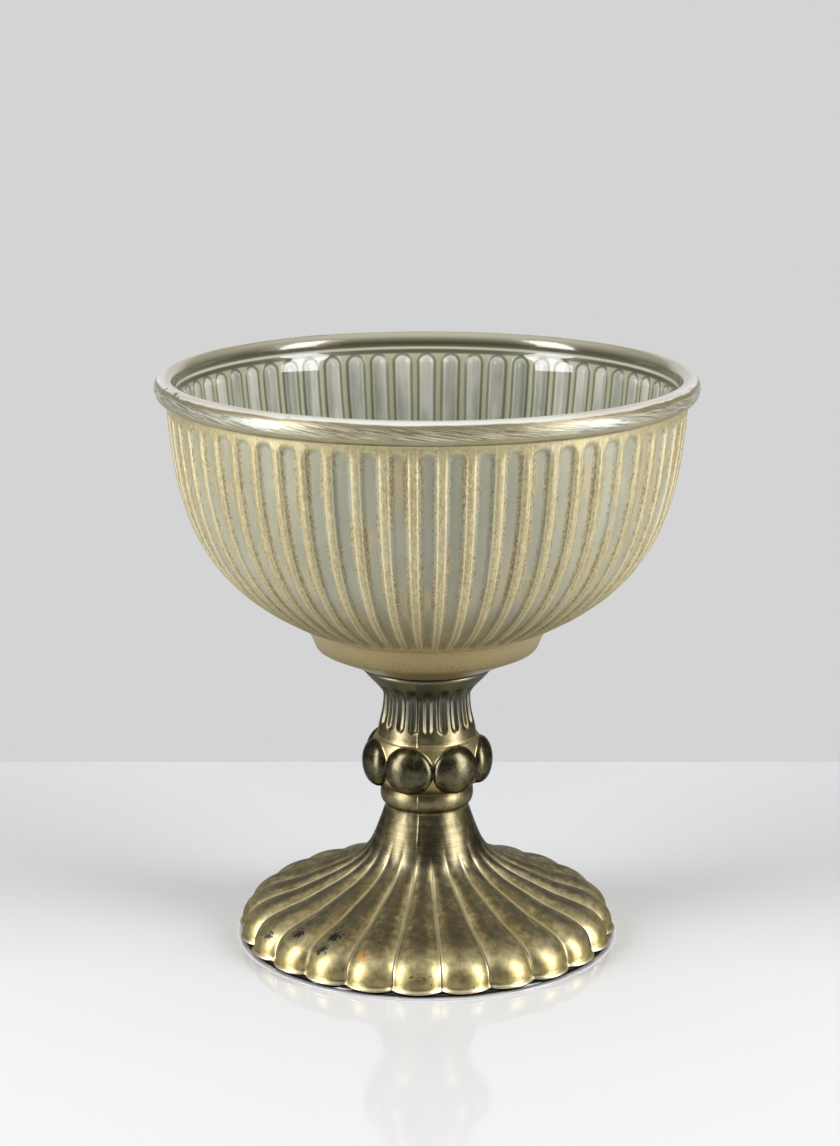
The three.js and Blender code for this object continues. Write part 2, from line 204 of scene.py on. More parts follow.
# bowl
def bowl_mesh():
    per_flute = 14
    around = FLUTES * per_flute
    turn = np.arange(around) * 2 * math.pi / around
    pitch_turn = 2 * math.pi / FLUTES
    off = (turn + pitch_turn / 2) % pitch_turn - pitch_turn / 2

    under, under_n = polyline([(4, 81.1), (12, 81.1), (19.1, 81.15), (25, 83.65), (30.2, 85.9), (31.5, 86.7),
                               (32.1, 87.8), (33.0, 90.0), (34.1, 92.0), (34.75, 93.0), (35.4, 93.6),
                               (36.3, 94.0)], 3)
    share = np.concatenate([np.linspace(0, 0.06, 13)[1:], np.linspace(0.06, 0.9, 34)[1:], np.linspace(0.9, 1, 22)[1:]])
    wall, wall_n = bezier(WALL, share)
    strip = np.array([(72.85, 157.7), (72.9, 158.1)])
    strip_n = np.array([(1.0, 0.0), (1.0, 0.0)])
    bead, bead_n = arc(BEAD_CENTRE, BEAD_HALF, -75, 205, 30)
    back = np.linspace(1, 0, 26)
    line, line_n = bezier(WALL, back)
    thick = WALL_THIN + WALL_GAIN * smooth(1 - back, -0.25, 1.0)
    inner = line - line_n * thick[:, None]
    foot = inner[-1]
    floor_level = BOWL_BASE + FLOOR_RISE
    floor = np.array([(foot[0] * s, floor_level + (foot[1] - floor_level) * s**3)
                      for s in np.linspace(1, 0.06, 14)[1:]])
    step = np.array([(70.2, 159.2), (69.75, 158.4)])
    inside, inside_n = with_normals(np.vstack([step, inner, floor]))
    at = np.vstack([under, wall, strip, bead, inside])
    normal = np.vstack([under_n, wall_n, strip_n, bead_n, inside_n])

    first = len(under)
    last = first + len(wall)
    steps = np.linalg.norm(np.diff(np.vstack([under[-1:], wall]), axis=0), axis=1)
    length = np.cumsum(steps)
    whole = length[-1]
    pitch = 2 * math.pi * wall[:, 0] / FLUTES
    half = 0.35 * pitch[:, None]
    across = off[None, :] * wall[:, :1]
    up = length[:, None]
    top_centre = whole - 1.0 - half
    foot_centre = 0.7 + half[:1] * 1.2
    above = np.maximum(up - top_centre, 0)
    below = np.maximum(foot_centre - up, 0) / 1.2
    clear = half - np.sqrt(across**2 + np.where(above > 0, above, below)**2)
    spread = 0.15 * pitch[:, None]
    depth = smooth(clear / spread, -0.62, 0.9)
    inset = np.zeros((len(at), around))
    inset[first:last] = FLUTE_DEPTH * depth * smooth(up / 2, 0.1, 1.2)

    ridge = np.zeros_like(inset)
    ridge[first:last] = 1 - depth
    ridge[last:last + 2] = 1
    side = np.zeros_like(inset)
    side[first:last] = across / half
    zone = np.zeros_like(inset)
    zone[first:last + 2] = 1.0
    zone[last + 2:last + 2 + len(bead)] = 2.0
    zone[last + 2 + len(bead):] = 3.0
    return build("ribbed_bowl", at, normal, turn, inset, start=81.1, end=floor_level,
                 masks={"ridge": ridge, "side": side, "zone": zone})


# pedestal
def boss_reach(turn, level):
    """How far the bosses reach from the axis at each turn and level, or 0 where there are none."""
    pitch = 2 * math.pi / BOSSES
    off = (turn - math.radians(BOSS_TURN) + pitch / 2) % pitch - pitch / 2
    deep, wide, tall = BOSS_HALF
    rise = (level - BOSS_CENTRE[1]) / tall
    room = 1 - rise**2
    a = (np.cos(off) / deep)**2 + (np.sin(off) / wide)**2
    b = -2 * BOSS_CENTRE[0] * np.cos(off) / deep**2
    c = (BOSS_CENTRE[0] / deep)**2 - room
    found = (room > 0) & (b * b > 4 * a * c)
    return np.where(found, (-b + np.sqrt(np.maximum(b * b - 4 * a * c, 0))) / (2 * a), 0)


def soft_max(a, b, round_by):
    """The larger of two, with a fillet where they meet."""
    gap = np.clip(0.5 + 0.5 * (a - b) / round_by, 0, 1)
    return b + (a - b) * gap + round_by * gap * (1 - gap)


def pedestal_mesh():
    around = LOBES * 24
    even = np.arange(around) * 2 * math.pi / around
    pitch = 2 * math.pi / LOBES
    in_lobe = ((even + pitch / 2) / pitch) % 1 * 2 - 1
    centre_of = even - in_lobe * pitch / 2
    u = np.sign(in_lobe) * (1 - (1 - np.abs(in_lobe))**1.35)
    gathered = centre_of + u * pitch / 2 + math.radians(LOBE_TURN)

    hollow = np.array([(49 * math.sin(a), 1.2 + 14.5 * math.cos(a)) for a in np.radians(np.linspace(6, 90, 12))])
    sole = np.array([(50.2, 1.2), (52.0, 1.2)])
    lip = np.array([(53.5, 1.2), (54.35, 1.25), (54.72, 1.5), (54.8, 1.8), (54.62, 2.1), (54.3, 2.35), (54.08, 2.65)])
    shoulder, shoulder_n = bezier([(FOOT_RADIUS, 3.0), (FOOT_RADIUS, 11.6),
                                   (SLOPE_RADIUS + 4, SLOPE_LEVEL - 4 * SLOPE_FALL),
                                   (SLOPE_RADIUS, SLOPE_LEVEL)], np.linspace(0, 1, 32))
    trumpet, trumpet_n = bezier([(SLOPE_RADIUS, SLOPE_LEVEL), (SLOPE_RADIUS - 20.6, SLOPE_LEVEL + 20.6 * SLOPE_FALL),
                                 (NECK_RADIUS + 16.8 * 0.35, NECK_LEVEL - 16.8), (NECK_RADIUS, NECK_LEVEL)],
                                np.linspace(0, 1, 46)[1:])
    collar, _ = arc((NECK_RADIUS, 42.7), (COLLAR_RADIUS - NECK_RADIUS, 2.95), -78, 56, 16)
    levels = np.linspace(45.4, KNOP_TOP + 0.6, 54)
    share = np.clip((levels - COLLAR_TOP) / (KNOP_TOP - COLLAR_TOP), 0, 1)
    core = np.column_stack([COLLAR_RADIUS + (KNOP_RADIUS - COLLAR_RADIUS) * share
                            + KNOP_BULGE * np.sin(math.pi * share)**0.5, levels])
    stem, _ = bezier([(KNOP_RADIUS, KNOP_TOP), (KNOP_RADIUS - 0.3, KNOP_TOP + 4), (STEM_WAIST, STEM_TOP - 6),
                      (STEM_WAIST, STEM_TOP)], np.linspace(0.06, 1, 24))
    edge = PEDESTAL_TOP - FLARE_EDGE
    flare, _ = bezier([(STEM_WAIST, STEM_TOP), (STEM_WAIST, STEM_TOP + 1.7), (FLARE_RADIUS - 4.2, edge - 4.2 * 1.17),
                       (FLARE_RADIUS, edge)], np.linspace(0, 1, 16)[1:-1])
    top = np.array([(18.35, 79.65), (18.5, 79.85), (18.5, 80.4), (18.35, 80.6), (16, 80.6), (9, 80.6), (3, 80.6)])
    groups = [hollow, sole, lip, shoulder, trumpet, collar, core, stem, flare, top]
    at = np.vstack(groups)
    starts = np.cumsum([0] + [len(g) for g in groups])
    run = np.gradient(at, axis=0)
    run /= np.linalg.norm(run, axis=1)[:, None]
    normal = np.column_stack([run[:, 1], -run[:, 0]])
    lip_rows = slice(starts[2], starts[3])
    normal[lip_rows] = (1, 0)
    normal[starts[3]:starts[4]] = shoulder_n
    normal[starts[4]:starts[5]] = trumpet_n
    rows = len(at)

    # Turns gather towards the creases on the foot and even out towards the neck.
    level = at[:, 1]
    gather = np.where(np.arange(rows) < starts[5], 1 - smooth(level, 30, NECK_LEVEL), 0.0)
    gather[:starts[2]] = np.linspace(0, 1, starts[2])
    turn = gather[:, None] * gathered + (1 - gather[:, None]) * (even + math.radians(LOBE_TURN))

    inset = np.zeros((rows, around))
    lobe = slice(starts[2], starts[5])
    skirt = np.clip(1 - (FOOT_RADIUS - at[lobe, 0]) / SKIRT_RUN, 0, 1)**3
    depth = SLOPE_DEPTH + (SKIRT_DEPTH - SLOPE_DEPTH) * skirt
    depth = depth * smooth(at[lobe, 0], CREASE_END, CREASE_END + CREASE_FADE)
    reach = 0.045 + 0.1 * smooth(level[lobe], 9, 26)
    deep_u = 1 - np.sqrt((1 - np.abs(u))[None, :]**2 + reach[:, None]**2)
    sag = (1 - np.sqrt(1 - (LOBE_BACK * deep_u)**2)) / (1 - math.sqrt(1 - LOBE_BACK**2))
    inset[lobe] = depth[:, None] * sag

    crease = np.zeros_like(inset)
    crease[lobe] = np.exp(-((1 - np.abs(u))[None, :] * pitch / 2 * at[lobe, :1] / 0.55)**2)
    crease[lobe] *= smooth(at[lobe, :1], NECK_RADIUS + 3, NECK_RADIUS + 9)

    flutes = 2 * math.pi / STEM_FLUTES
    for k in range(starts[6], starts[9]):
        z = level[k]
        off = (turn[k] - math.radians(STEM_FLUTE_TURN) + flutes / 2) % flutes - flutes / 2
        if starts[7] <= k:
            wave = np.abs(off) / (flutes / 2)
            across = np.abs(off) * at[k, 0]
            half = 0.36 * flutes * at[k, 0]
            low = np.maximum(STEM_FLUTE_FOOT + 1.7 - z, 0)
            clear = half - np.sqrt(across**2 + (low * half / 1.7)**2)
            cut = STEM_FLUTE_DEPTH * smooth(clear / half, -0.12, 0.75)
            inset[k] = cut * (1 - smooth(z, 74.3, 77.0))
            crease[k] = -smooth(wave, 0.5, 1.0) * (1 - smooth(z, 74.3, 77.0))
    boss = np.zeros_like(inset)
    for k in range(starts[6], starts[8]):
        if level[k] < 62:
            reach_k = boss_reach(turn[k], level[k])
            base = at[k, 0] - inset[k]
            inset[k] = at[k, 0] - soft_max(np.maximum(reach_k, base - 0.5), base, 0.5)
            boss[k] = smooth(reach_k - base, -0.2, 0.7)
            normal[k] = (1, 0)
    # A thin fin runs up both sides where the halves of the mould met.
    for side in (0, math.pi):
        away = (turn - math.radians(SEAM_TURN) - side + math.pi) % (2 * math.pi) - math.pi
        fin = np.exp(-(away * at[:, :1] / SEAM_HALF)**2) * smooth(level, 27, 33)[:, None]
        inset -= SEAM_RISE * fin * (level < 79)[:, None]
    return build("scalloped_foot_and_stem", at, normal, turn, inset, start=16.2, end=80.6,
                 masks={"crease": crease, "boss": boss, "flank": np.broadcast_to(u, inset.shape)})


def ring_mesh():
    inner = RING_RADIUS - RING_WIDTH
    at = np.array([(inner, 0.15), (inner + 0.15, 0), (52, 0), (54.7, 0), (54.93, 0.06), (55.0, 0.2),
                   (54.93, 0.36), (54.7, 0.45), (53.5, 0.5), (53.3, 0.6), (53.3, 1.2), (51, 1.2),
                   (inner + 0.15, 1.2), (inner, 1.05)])
    run = np.roll(at, -1, 0) - np.roll(at, 1, 0)
    run /= np.linalg.norm(run, axis=1)[:, None]
    around = 288
    turn = np.arange(around) * 2 * math.pi / around
    flat = np.zeros((len(at), around))
    return build("rest_ring", at, np.column_stack([run[:, 1], -run[:, 0]]), turn, flat, loop=True)


def bond_mesh():
    at = np.array([(6, 80.62), (17.6, 80.62), (17.85, 80.7), (17.9, 80.85), (17.85, 81.0), (17.6, 81.08), (6, 81.08)])
    around = 96
    turn = np.arange(around) * 2 * math.pi / around
    flat = np.zeros((len(at), around))
    return build("bond_film", at, np.zeros_like(at), turn, flat, start=80.62, end=81.08)


# materials
def linear(colour):
    """An sRGB colour of 0 to 255 as linear light."""
    share = np.asarray(colour, float) / 255
    return tuple(np.where(share <= 0.04045, share / 12.92, ((share + 0.055) / 1.055)**2.4).tolist()) + (1.0,)


def tone(name):
    """A named paint as linear light."""
    return linear(COLOURS[name])


class Nodes:
    """A node tree, written as sums."""

    def __init__(self, tree):
        self.tree = tree

    def node(self, kind, **settings):
        node = self.tree.nodes.new(kind)
        for key, value in settings.items():
            setattr(node, key, value)
        return node

    def put(self, value, socket):
        """Sets a number or colour, or links an output."""
        if isinstance(value, bpy.types.NodeSocket):
            self.tree.links.new(value, socket)
        else:
            socket.default_value = value

    def math(self, operation, a, b=0.0, clamp=False):
        node = self.node("ShaderNodeMath", operation=operation, use_clamp=clamp)
        self.put(a, node.inputs[0])
        self.put(b, node.inputs[1])
        return node.outputs[0]

    def add(self, a, b):
        return self.math("ADD", a, b)

    def take(self, a, b):
        return self.math("SUBTRACT", a, b)

    def times(self, first, *others):
        for other in others:
            first = self.math("MULTIPLY", first, other)
        return first

    def span(self, value, low, high, to_low=0.0, to_high=1.0):
        """A smooth step between low and high."""
        node = self.node("ShaderNodeMapRange", interpolation_type="SMOOTHSTEP")
        for number, given in enumerate((value, low, high, to_low, to_high)):
            self.put(given, node.inputs[number])
        return node.outputs[0]

    def within(self, value, low, high, edge):
        """1 between low and high, 0 outside, with soft edges."""
        return self.times(self.span(value, low - edge, low + edge),
                          self.span(value, high - edge, high + edge, 1.0, 0.0))


class Shade(Nodes):
    """A material round one Principled BSDF."""

    SOCKETS = {"colour": "Base Color", "metallic": "Metallic", "roughness": "Roughness", "normal": "Normal",
               "coat": "Coat Weight", "coat_roughness": "Coat Roughness", "tint": "Specular Tint"}

    def __init__(self, name):
        self.material = bpy.data.materials.new(name)
        self.material.use_nodes = True
        super().__init__(self.material.node_tree)
        self.bsdf = self.tree.nodes["Principled BSDF"]

    def mix(self, share, a, b):
        node = self.node("ShaderNodeMix", data_type="RGBA")
        self.put(share, node.inputs[0])
        self.put(a, node.inputs[6])
        self.put(b, node.inputs[7])
        return node.outputs[2]

    def blend(self, share, a, b):
        node = self.node("ShaderNodeMix", data_type="FLOAT")
        self.put(share, node.inputs[0])
        self.put(a, node.inputs[2])
        self.put(b, node.inputs[3])
        return node.outputs[0]

    def attribute(self, name):
        return self.node("ShaderNodeAttribute", attribute_name=name).outputs["Fac"]

    def place(self):
        return self.node("ShaderNodeTexCoord").outputs["Object"]

    def parts(self):
        node = self.node("ShaderNodeSeparateXYZ")
        self.put(self.place(), node.inputs[0])
        return node.outputs

    def noise(self, scale, detail=3.0, rough=0.55, lift=None):
        """Noise with its own scale, per metre, along each axis. Lift shifts it up or down from place to place."""
        at = self.place()
        if lift is not None:
            up = self.node("ShaderNodeCombineXYZ")
            self.put(lift, up.inputs["Z"])
            shifted = self.node("ShaderNodeVectorMath", operation="ADD")
            self.put(at, shifted.inputs[0])
            self.put(up.outputs[0], shifted.inputs[1])
            at = shifted.outputs[0]
        stretched = self.node("ShaderNodeVectorMath", operation="MULTIPLY")
        self.put(at, stretched.inputs[0])
        stretched.inputs[1].default_value = scale
        node = self.node("ShaderNodeTexNoise")
        self.put(stretched.outputs[0], node.inputs["Vector"])
        node.inputs["Scale"].default_value = 1.0
        node.inputs["Detail"].default_value = detail
        node.inputs["Roughness"].default_value = rough
        return node.outputs[0]

    def near(self, point, reach):
        """1 at a point given in metres, 0 from reach on."""
        node = self.node("ShaderNodeVectorMath", operation="DISTANCE")
        self.put(self.place(), node.inputs[0])
        node.inputs[1].default_value = point
        return self.span(node.outputs["Value"], 0.0, reach, 1.0, 0.0)

    def bump(self, height, distance, below=None):
        node = self.node("ShaderNodeBump")
        node.inputs["Distance"].default_value = distance
        self.put(height, node.inputs["Height"])
        if below is not None:
            self.put(below, node.inputs["Normal"])
        return node.outputs[0]

    def set(self, **given):
        for key, value in given.items():
            self.put(value, self.bsdf.inputs[self.SOCKETS[key]])
        return self.material


def outside_paint(s, z, speck, cloud):
    """Sage in the flutes, antique gold dry-brushed over the ribs. Gives colour and how much of it is gold."""
    ridge, side = s.attribute("ridge"), s.attribute("side")
    patch = s.noise((110, 110, 40), 3, 0.6)
    grain = s.noise((2300, 2300, 1000), 2, 0.7)
    sage = s.mix(s.span(cloud, 0.35, 0.7), tone("sage_deep"), tone("sage_pale"))
    sage = s.mix(s.span(z, *HEIGHTS["sage_low"], 0.6, 0.0), sage, tone("sage_low"))
    gold = s.mix(s.span(speck, 0.35, 0.7), tone("rib_deep"), tone("rib_pale"))
    # The gold thins out from the ribs into the flutes.
    edge = s.math("ABSOLUTE", side)
    stray = s.add(s.times(s.take(patch, 0.5), 4.2), s.times(s.take(speck, 0.5), 0.9))
    wash = s.span(s.add(edge, stray), 0.20, 0.85)
    colour = s.mix(s.times(wash, 0.8), sage, tone("wash"))
    uneven = s.add(s.times(s.take(speck, 0.5), 0.9), s.times(s.take(patch, 0.5), 1.4))
    rib = s.span(s.add(ridge, uneven), 0.40, 0.95)
    colour = s.mix(s.times(rib, 0.85), colour, gold)
    # The dry brush left its specks on both flanks of the ribs.
    specks = s.span(s.add(grain, s.times(s.take(patch, 0.5), 0.5)), 0.50, 0.58)
    fleck = s.times(specks, s.within(edge, 0.45, 1.2, 0.2))
    colour = s.mix(s.times(fleck, 0.75), colour, tone("fleck"))
    # A thin pale line along both edges of each rib is partly pale gold and partly painted highlight, standing in for
    # the glint on the rib edges.
    line = s.times(s.within(edge, 0.94, 1.10, 0.07), 0.4)
    colour = s.mix(line, colour, tone("rib_edge_highlight"))
    colour = s.mix(s.span(z, *HEIGHTS["bowl_low"], 0.55, 0.0), colour, tone("low_olive"))
    strip = s.span(z, *HEIGHTS["strip"])
    colour = s.mix(s.times(strip, rib, 0.35), colour, tone("strip"))
    band = s.span(z, *HEIGHTS["band"], 1.0, 0.0)
    olive = s.mix(s.span(z, *HEIGHTS["band_fade"]), tone("band_deep"), tone("band_pale"))
    olive = s.mix(s.times(s.span(grain, 0.35, 0.7), 0.35), olive, tone("band_grain"))
    return s.mix(band, colour, olive), s.math("MAXIMUM", rib, band)


def bead_paint(s, x, radius, z, coarse):
    """A pale top land of bare glass, painted pale as a highlight for the bright reflection it catches; brushed silver
    and olive gold outside, brown gold on the inner roll.
    """
    fine = s.noise((110, 110, 4400), 4, 0.8, lift=s.times(x, 0.16))
    ragged = s.add(z, s.times(s.take(coarse, 0.5), 0.0012))
    side = s.span(s.noise((16, 16, 16), 2, 0.5), 0.42, 0.60)
    light = s.mix(side, tone("silver_warm"), tone("silver_cool"))
    dark = s.mix(side, tone("scratch_warm"), tone("scratch_cool"))
    metal = s.mix(s.span(fine, 0.40, 0.62), dark, light)
    metal = s.mix(s.times(s.span(ragged, *HEIGHTS["bead_brown"]), 0.8), metal, tone("bead_brown"))
    metal = s.mix(s.span(ragged, *HEIGHTS["bead_olive"], 0.85, 0.0), metal, tone("bead_olive"))
    metal = s.mix(s.span(ragged, *HEIGHTS["bead_edge"], 0.9, 0.0), metal, tone("bead_edge"))
    # The pale top land is painted highlight, with grey chips in it.
    top_highlight = s.span(ragged, *HEIGHTS["top_highlight"])
    chipped = s.span(s.noise((75, 75, 75), 3, 0.6), 0.60, 0.63)
    pale = s.mix(side, tone("top_highlight_pale"), tone("top_highlight_rose"))
    pale = s.mix(s.times(chipped, side, 0.85), pale, tone("chip"))
    metal = s.mix(top_highlight, metal, pale)
    roll = s.mix(s.span(z, *HEIGHTS["inner_roll"]), tone("roll_deep"), tone("roll_pale"))
    inner = s.span(s.add(radius, s.times(s.take(coarse, 0.5), 0.0012)), 0.0722, 0.0734, 1.0, 0.0)
    return s.mix(inner, metal, roll), s.math("MAXIMUM", inner, top_highlight)


def inside_paint(s, x, y, radius, z):
    """The painted flutes as they show through the clear wall: pale columns with olive lines between."""
    turn = s.math("ARCTAN2", x, s.times(y, -1.0))
    around = s.math("FRACT", s.add(s.times(turn, FLUTES / (2 * math.pi)), 0.5))
    pitch = s.times(radius, 2 * math.pi / FLUTES)
    sway = s.times(s.take(s.noise((90, 90, 9), 2), 0.5), 0.0016)
    across = s.add(s.times(s.take(around, 0.5), pitch), sway)
    up = s.math("MAXIMUM", s.take(z, INSIDE_ARCH), 0.0)
    away = s.math("SQRT", s.add(s.times(across, across), s.times(up, up)))
    clear = s.take(0.37, s.math("DIVIDE", away, pitch))
    column = s.span(clear, 0.0, 0.15)
    patch = s.noise((90, 90, 25), 3, 0.6)
    glass = s.mix(s.span(patch, 0.36, 0.64), tone("column_deep"), tone("column_pale"))
    # A pale line along both edges of each column is partly pale paint and partly painted highlight.
    line = s.within(clear, 0.08, 0.16, 0.03)
    between = s.mix(s.span(clear, -0.08, 0.0), tone("between_pale"), tone("between_deep"))
    glass = s.mix(column, between, glass)
    glass = s.mix(s.times(line, 0.4), glass, tone("column_edge_highlight"))
    # A dark band on the inside under the rim is painted shade.
    glass = s.mix(s.span(z, *HEIGHTS["under_rim_shade"]), glass, tone("under_rim_shade"))
    # A pale line on the inner roll is a painted highlight.
    glass = s.mix(s.within(z, *HEIGHTS["rim_highlight"], 0.0003), glass, tone("rim_highlight"))
    glass = s.mix(s.span(z, *HEIGHTS["inside_floor"], 1.0, 0.0), glass, tone("inside_floor"))
    return glass, s.span(clear, -0.1, 0.34)


def bowl_paint():
    s = Shade("painted_ribbed_glass")
    x, y, z = s.parts()
    zone = s.attribute("zone")
    radius = s.math("SQRT", s.add(s.times(x, x), s.times(y, y)))
    speck = s.noise((1100, 1100, 550), 4, 0.7)
    cloud = s.noise((50, 50, 30), 3, 0.6)
    wander = s.times(s.take(s.noise((45, 45, 45), 2), 0.5), 0.004)
    streak = s.noise((55, 55, 2600), 4, 0.7, lift=wander)
    coarse = s.noise((60, 60, 200), 3, 0.6, lift=wander)
    # The inner wall runs on over the lower inside of the bead.
    low = s.times(s.span(z, *HEIGHTS["bead_wall"], 1.0, 0.0), s.span(radius, 0.0722, 0.0724, 1.0, 0.0))
    is_in = s.math("MAXIMUM", s.span(zone, 2.45, 2.55), s.times(s.span(zone, 1.45, 1.55), low))
    is_bead = s.times(s.within(zone, 1.5, 2.5, 0.05), s.take(1.0, is_in))
    outside, gilt = outside_paint(s, z, speck, cloud)
    bead, bare = bead_paint(s, x, radius, z, coarse)
    glass, relief = inside_paint(s, x, y, radius, z)
    colour = s.mix(is_in, s.mix(is_bead, outside, bead), glass)
    metallic = s.blend(is_bead, s.blend(gilt, 0.1, 0.35), s.blend(bare, 0.4, 0.15))
    metallic = s.blend(is_in, metallic, 0.0)
    roughness = s.blend(is_bead, s.blend(gilt, 0.48, 0.38), s.blend(bare, s.span(streak, 0.3, 0.7, 0.26, 0.4), 0.14))
    roughness = s.blend(is_in, roughness, 0.32)
    coat = s.math("MAXIMUM", is_in, s.times(is_bead, bare))
    tooth = s.bump(s.times(s.take(1.0, is_in), s.blend(is_bead, speck, streak)), 0.00007)
    flutes = s.bump(s.times(is_in, relief), 0.0011, below=tooth)
    return s.set(colour=colour, metallic=metallic, roughness=roughness, coat=coat, coat_roughness=0.02, normal=flutes)


def pedestal_paint():
    s = Shade("antique_gold_glass")
    z = s.parts()[2]
    crease, boss, flank = s.attribute("crease"), s.attribute("boss"), s.attribute("flank")
    cloud = s.noise((70, 70, 70), 4, 0.62)
    mottle = s.noise((420, 420, 420), 4, 0.65)
    grain = s.noise((1500, 1500, 1500), 3, 0.65)
    rings = s.noise((30, 30, 2300), 4, 0.6)
    patchy = s.span(mottle, 0.35, 0.68)
    # Gold on the skirt, brighter but rubbed on the slope, darker on the trumpet and above.
    gold = s.mix(patchy, tone("slope_deep"), tone("slope_pale"))
    skirt = s.mix(patchy, tone("skirt_deep"), tone("skirt_pale"))
    gold = s.mix(s.span(z, *HEIGHTS["skirt"], 1.0, 0.0), gold, skirt)
    upper_gold = s.mix(patchy, tone("upper_deep"), tone("upper_pale"))
    gold = s.mix(s.span(z, *HEIGHTS["upper_gold"]), gold, upper_gold)
    brown = s.mix(s.span(grain, 0.38, 0.62), tone("brown_deep"), tone("brown_pale"))
    pewter_and_shade = s.mix(s.span(cloud, 0.35, 0.65), tone("pewter_and_shade_deep"), tone("pewter_and_shade_pale"))
    bronze = s.mix(s.span(mottle, 0.35, 0.65), tone("bronze_deep"), tone("bronze_pale"))
    shade_black = tone("shade_black")
    cream_highlight = tone("cream_highlight")
    slope = s.times(s.span(z, *HEIGHTS["slope_start"]), s.span(z, *HEIGHTS["slope_end"], 1.0, 0.0))
    rubbed = s.times(slope, s.span(s.add(s.times(grain, 0.5), cloud), 0.68, 0.88))
    colour = s.mix(s.times(rubbed, 0.7), gold, brown)
    # Dark pewter runs down the middle of each lobe of the slope, all the way round: partly pewter paint, partly painted
    # shade, as the lobes are lit from both sides and their middles fall dark.
    away = s.span(s.add(s.math("ABSOLUTE", flank), s.times(s.take(mottle, 0.5), 0.8)), 0.25, 0.72, 1.0, 0.0)
    foot = s.times(s.span(z, *HEIGHTS["lobe_start"]), s.span(z, *HEIGHTS["lobe_end"], 1.0, 0.0))
    colour = s.mix(s.times(away, foot, 0.55), colour, pewter_and_shade)
    trumpet = s.within(z, *HEIGHTS["trumpet"], 0.0015)
    colour = s.mix(s.times(trumpet, s.span(rings, 0.4, 0.65, 0.0, 0.4)), colour, tone("rings"))
    upper = s.span(z, *HEIGHTS["stem"])
    stem = s.mix(s.span(cloud, 0.35, 0.65), tone("stem_deep"), tone("stem_pale"))
    colour = s.mix(s.times(upper, 0.9), colour, s.mix(s.span(z, *HEIGHTS["flare"]), stem, tone("flare")))
    # A thin dark patina runs down the trumpet in streaks, all the way round: partly patina, partly painted shade that
    # darkens the trumpet where it mirrors the dark room.
    streaks = s.noise((210, 210, 26), 3, 0.6)
    patina_and_shade = s.times(s.span(streaks, 0.44, 0.62), s.span(z, *HEIGHTS["slope_end"]),
                     s.span(z, *HEIGHTS["neck"], 1.0, 0.0))
    colour = s.mix(s.times(patina_and_shade, 0.6), colour, tone("patina_and_shade"))
    # A pale line along the ledge above the bosses and in the valleys between them is painted highlight, partly the gold
    # showing between the bosses.
    ledge_highlight = s.within(z, *HEIGHTS["ledge_highlight"], 0.0005)
    valley = s.times(s.within(z, *HEIGHTS["valley"], 0.001), s.take(1.0, boss))
    colour = s.mix(s.times(s.math("MAXIMUM", ledge_highlight, valley), 0.7), colour, tone("ledge_highlight"))
    colour = s.mix(s.times(boss, 0.95), colour, bronze)
    # Cream lines along the creases are painted highlight, partly pale gold, and the black in the creases down on the
    # skirt is painted shade.
    line = s.times(s.span(crease, 0.12, 0.6), s.span(z, *HEIGHTS["crease_highlight"], 0.5, 1.0))
    colour = s.mix(s.times(line, 0.8), colour, cream_highlight)
    crease_shade = s.times(s.span(crease, 0.86, 0.97), s.span(z, *HEIGHTS["crease_shade"], 1.0, 0.0))
    colour = s.mix(crease_shade, colour, shade_black)
    # A cream line along the lip of the skirt is a painted highlight, and the black below it is painted shade.
    lip = s.within(z, *HEIGHTS["lip"], 0.0002)
    colour = s.mix(s.times(lip, 0.8), colour, cream_highlight)
    colour = s.mix(s.span(z, *HEIGHTS["lip_underside_shade"], 1.0, 0.0), colour, shade_black)
    pit = s.times(s.span(s.noise((520, 520, 520), 2, 0.5), 0.70, 0.76), s.span(z, *HEIGHTS["pits"], 1.0, 0.3))
    colour = s.mix(s.times(pit, 0.8), colour, tone("pit"))
    for place, reach in SCUFFS:
        torn = s.add(s.times(s.take(mottle, 0.5), 1.6), s.times(s.take(grain, 0.5), 1.6))
        scuff = s.span(s.add(s.times(s.near(place, reach), 0.7), torn), 0.42, 0.50)
        colour = s.mix(s.times(scuff, 0.9), colour, tone("scuff"))
    worn = s.times(s.span(s.near(*WORN_SPOT), 0.1, 0.6), s.span(mottle, 0.34, 0.5))
    colour = s.mix(s.times(worn, 0.9), colour, tone("worn"))
    roughness = s.add(s.blend(s.span(mottle, 0.3, 0.7), 0.33, 0.39), s.span(z, 0.009, 0.016, 0.05, 0.0))
    roughness = s.take(roughness, s.times(boss, 0.08))
    roughness = s.add(roughness, s.times(rubbed, 0.08))
    height = s.add(s.times(grain, 0.5), s.times(rings, s.times(trumpet, 0.7)))
    return s.set(colour=colour, metallic=0.9, roughness=roughness, normal=s.bump(height, 0.00005),
                 coat=0.15, coat_roughness=0.12, tint=tone("metal_tint"))


def ring_glass():
    s = Shade("clear_ring_glass")
    z = s.parts()[2]
    haze = s.noise((200, 200, 200), 3)
    # The pale tone is a painted reflection on the glass edge, and the black over its upper part is painted shadow in
    # the gap under the skirt.
    pale = s.mix(haze, tone("ring_reflection_deep"), tone("ring_reflection_pale"))
    colour = s.mix(s.span(z, *HEIGHTS["ring_gap_shadow"]), pale, tone("ring_gap_shadow"))
    return s.set(colour=colour, roughness=s.blend(haze, 0.04, 0.1), coat=0.5)


def bond_glue():
    s = Shade("clear_bond_glue")
    haze = s.noise((400, 400, 400), 2)
    return s.set(colour=s.mix(haze, tone("bond_deep"), tone("bond_pale")), roughness=0.15, coat=0.6)


def floor_gloss():
    s = Shade("table_gloss")
    grain = s.noise((3, 3, 3), 2)
    return s.set(colour=s.mix(grain, tone("table_deep"), tone("table_pale")), roughness=0.08)


# pieces
def dress(obj, material, node):
    obj.data.materials.append(material)
    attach(obj, "root")
    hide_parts(node)


